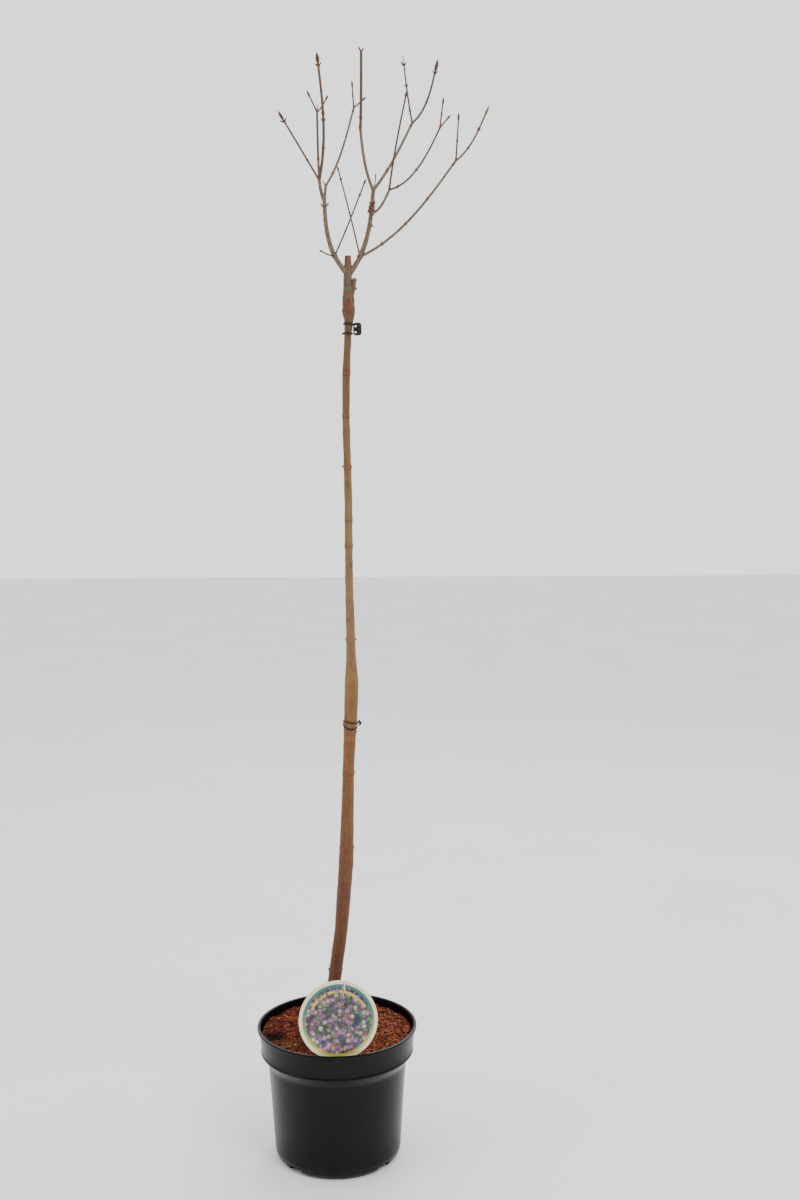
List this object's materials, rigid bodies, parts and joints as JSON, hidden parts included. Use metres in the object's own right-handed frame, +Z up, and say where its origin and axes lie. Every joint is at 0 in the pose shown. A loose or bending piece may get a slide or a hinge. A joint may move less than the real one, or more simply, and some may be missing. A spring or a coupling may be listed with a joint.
{
  "type": "potted bare tree",
  "caption": "Bare sycamore maple in winter, grafted as a small standard: slim clear stem, open crown of opposite twigs with buds, round nursery pot of bark mix with a stick-in label.",
  "frame": {"origin": "centre of the pot's flat underside, on the ground", "axes": "+Z up along the stem, +Y towards the back, +X to the right as seen from the front; the label faces the front"},
  "size_m": [0.362, 0.2524, 1.7117],
  "materials": {
    "black_plastic": "satin black moulded plastic",
    "bark_mix": "rough red-brown shredded bark",
    "label_face": "printed plastic card",
    "tie_rubber": "black tie",
    "stem_bark": "smooth young bark",
    "twig_bark": "thin twigs with buds"
  },
  "bodies": {
    "root": {"pot": "black_plastic", "potting_mix": "bark_mix", "plant_label": "label_face", "lower_tie": "tie_rubber", "upper_tie": "tie_rubber", "trunk": "stem_bark", "left_bough": "stem_bark", "left_outer_bough": "stem_bark", "left_inner_stem": "stem_bark", "left_inner_bough": "stem_bark", "right_bough": "stem_bark", "low_right_bough": "stem_bark", "centre_bough": "stem_bark", "right_upper_bough": "stem_bark", "burr_bough": "stem_bark", "left_outer_twigs": "twig_bark", "left_middle_twigs": "twig_bark", "left_leader_twigs": "twig_bark", "left_inner_twigs": "twig_bark", "front_crossing_twigs": "twig_bark", "short_left_twigs": "twig_bark", "rear_crossing_twigs": "twig_bark", "low_right_twigs": "twig_bark", "centre_leader_twigs": "twig_bark", "right_upper_twigs": "twig_bark", "burr_right_twigs": "twig_bark", "burr_upright_twigs": "twig_bark"}
  },
  "joints": []
}
